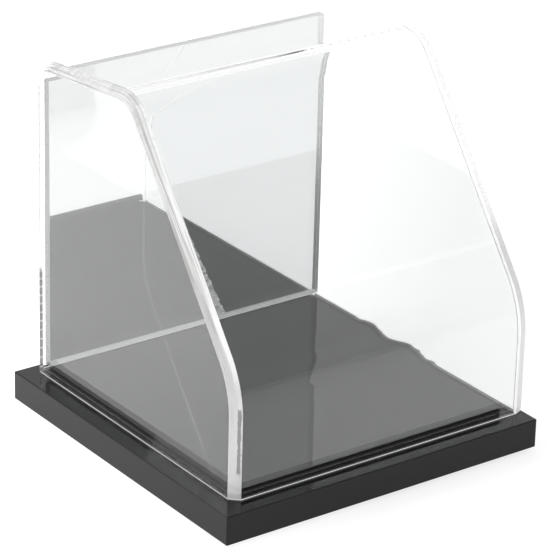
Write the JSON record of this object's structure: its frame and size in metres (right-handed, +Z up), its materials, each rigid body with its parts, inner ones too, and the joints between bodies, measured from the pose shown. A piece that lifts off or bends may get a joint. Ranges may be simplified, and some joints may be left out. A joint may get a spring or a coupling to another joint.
{
  "type": "display case",
  "caption": "Small display case: a clear lift-off cover with a sloped front and a mirror back wall, over a gloss black base with a raised floor and bumper feet",
  "frame": {"origin": "centre of the footprint, on the plane the feet stand on", "axes": "+Z up; the low front of the case faces -Y, the mirror is at +Y; +X is to the right as seen from the front"},
  "size_m": [0.12, 0.12, 0.1231],
  "materials": {
    "black_acrylic": "polished",
    "clear_acrylic": "polished clear",
    "mirror_acrylic": "mirror",
    "foot_rubber": "matte",
    "foam_tape": "matte foam"
  },
  "bodies": {
    "base": {"base_slab": "black_acrylic", "riser_plate": "black_acrylic", "foot_front_left": "foot_rubber", "foot_front_right": "foot_rubber", "foot_back_left": "foot_rubber", "foot_back_right": "foot_rubber"},
    "cover": {"wrap_sheet": "clear_acrylic", "left_side_panel": "clear_acrylic", "right_side_panel": "clear_acrylic", "mirror_panel": "mirror_acrylic", "tape_left": "foam_tape", "tape_right": "foam_tape"}
  },
  "joints": [
    {"name": "cover_lift", "type": "slide", "parent": "base", "child": "cover", "axis": [0, 0, 1], "range_m": [0, 0.13]}
  ]
}
